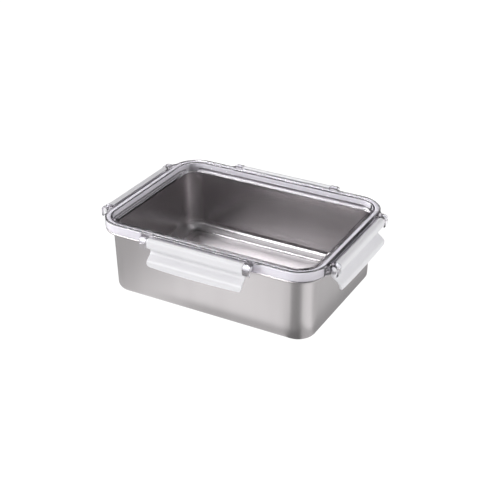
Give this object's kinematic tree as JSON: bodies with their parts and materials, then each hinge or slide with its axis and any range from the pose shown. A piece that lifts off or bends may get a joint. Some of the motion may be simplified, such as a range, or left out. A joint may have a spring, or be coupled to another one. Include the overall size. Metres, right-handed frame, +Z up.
{
  "type": "lunch box",
  "caption": "Rectangular stainless steel lunch box with a clear clip-on lid, a seal ring, and white flap latches that hinge on the lid and hook under the steel rim.",
  "frame": {"origin": "centre of the rectangle that the part covers, on the surface it stands on", "axes": "+X along the long side, +Y towards the back, +Z up through the lid"},
  "size_m": [0.23, 0.1746, 0.0707],
  "materials": {
    "steel": "brushed",
    "clear_plastic": "polished",
    "silicone": "matt",
    "white_plastic": "satin"
  },
  "bodies": {
    "tub": {"tub": "steel"},
    "lid": {"lid": "clear_plastic", "lid_seal": "silicone"},
    "latch_front": {"latch_front": "white_plastic"},
    "latch_right": {"latch_right": "white_plastic"},
    "latch_back": {"latch_back": "white_plastic"},
    "latch_left": {"latch_left": "white_plastic"}
  },
  "joints": [
    {"name": "lid_lift", "type": "slide", "parent": "tub", "child": "lid", "axis": [0, 0, 1], "range_m": [0, 0.06]},
    {"name": "front_latch_hinge", "type": "hinge", "parent": "lid", "child": "latch_front", "pos_m": [0, -0.0829, 0.067], "axis": [-1, 0, 0], "range_deg": [-5, 170]},
    {"name": "right_latch_hinge", "type": "hinge", "parent": "lid", "child": "latch_right", "pos_m": [0.1106, 0, 0.067], "axis": [0, -1, 0], "range_deg": [-5, 170]},
    {"name": "back_latch_hinge", "type": "hinge", "parent": "lid", "child": "latch_back", "pos_m": [0, 0.0829, 0.067], "axis": [1, 0, 0], "range_deg": [-5, 170]},
    {"name": "left_latch_hinge", "type": "hinge", "parent": "lid", "child": "latch_left", "pos_m": [-0.1106, 0, 0.067], "axis": [0, 1, 0], "range_deg": [-5, 170]}
  ]
}
